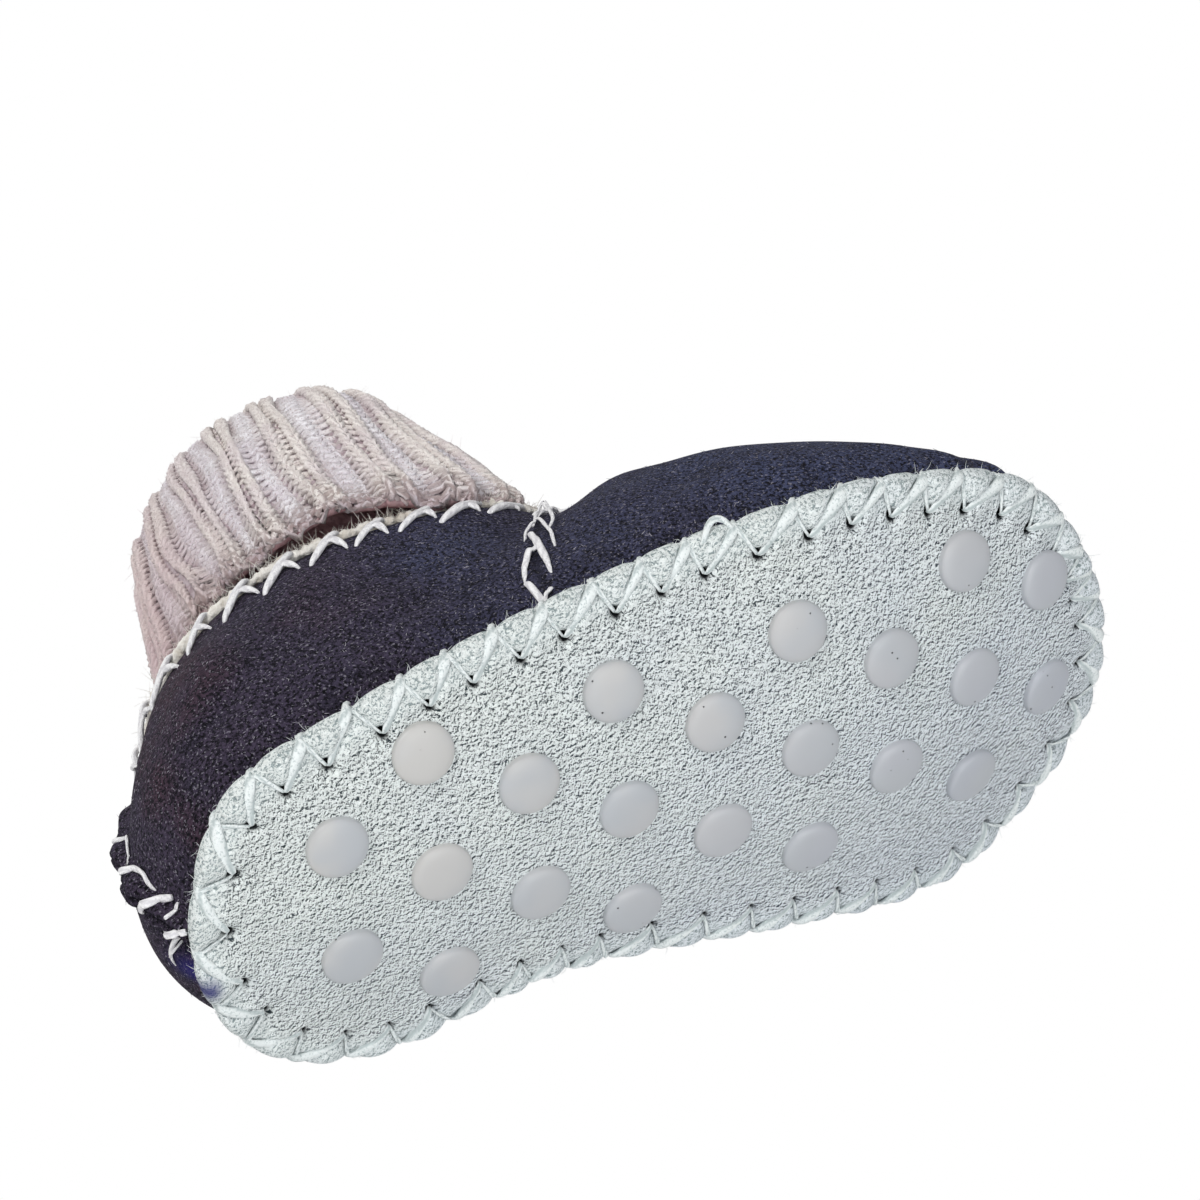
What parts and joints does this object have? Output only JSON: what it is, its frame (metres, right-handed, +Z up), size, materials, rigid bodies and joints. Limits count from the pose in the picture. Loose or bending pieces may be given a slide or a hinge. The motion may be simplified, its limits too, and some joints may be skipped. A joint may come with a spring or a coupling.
{
  "type": "baby slipper",
  "caption": "Sheepskin baby slipper for the right foot: hollow suede upper with raised hand-sewn seams, crowned sole with grip dots and a folded ribbed knit cuff, lying on its inner side.",
  "frame": {"origin": "middle of the slipper's box, on the floor it lies on", "axes": "+X along the foot to the toe, -Y the way the sole faces, +Z up through the outer side"},
  "size_m": [0.1254, 0.0762, 0.0614],
  "materials": {
    "upper_suede": "matt napped suede",
    "sole_suede": "matt pebbled suede",
    "fleece": "clipped wool pile",
    "knit": "two by two ribbed wool knit",
    "grip_rubber": "smooth, slightly satin"
  },
  "bodies": {
    "root": {"outsole": "sole_suede", "insole": "fleece", "upper": "upper_suede", "cuff": "knit", "grip_dot_01": "grip_rubber", "grip_dot_02": "grip_rubber", "grip_dot_03": "grip_rubber", "grip_dot_04": "grip_rubber", "grip_dot_05": "grip_rubber", "grip_dot_06": "grip_rubber", "grip_dot_07": "grip_rubber", "grip_dot_08": "grip_rubber", "grip_dot_09": "grip_rubber", "grip_dot_10": "grip_rubber", "grip_dot_11": "grip_rubber", "grip_dot_12": "grip_rubber", "grip_dot_13": "grip_rubber", "grip_dot_14": "grip_rubber", "grip_dot_15": "grip_rubber", "grip_dot_16": "grip_rubber", "grip_dot_17": "grip_rubber", "grip_dot_18": "grip_rubber", "grip_dot_19": "grip_rubber", "grip_dot_20": "grip_rubber", "grip_dot_21": "grip_rubber", "grip_dot_22": "grip_rubber"}
  },
  "joints": []
}
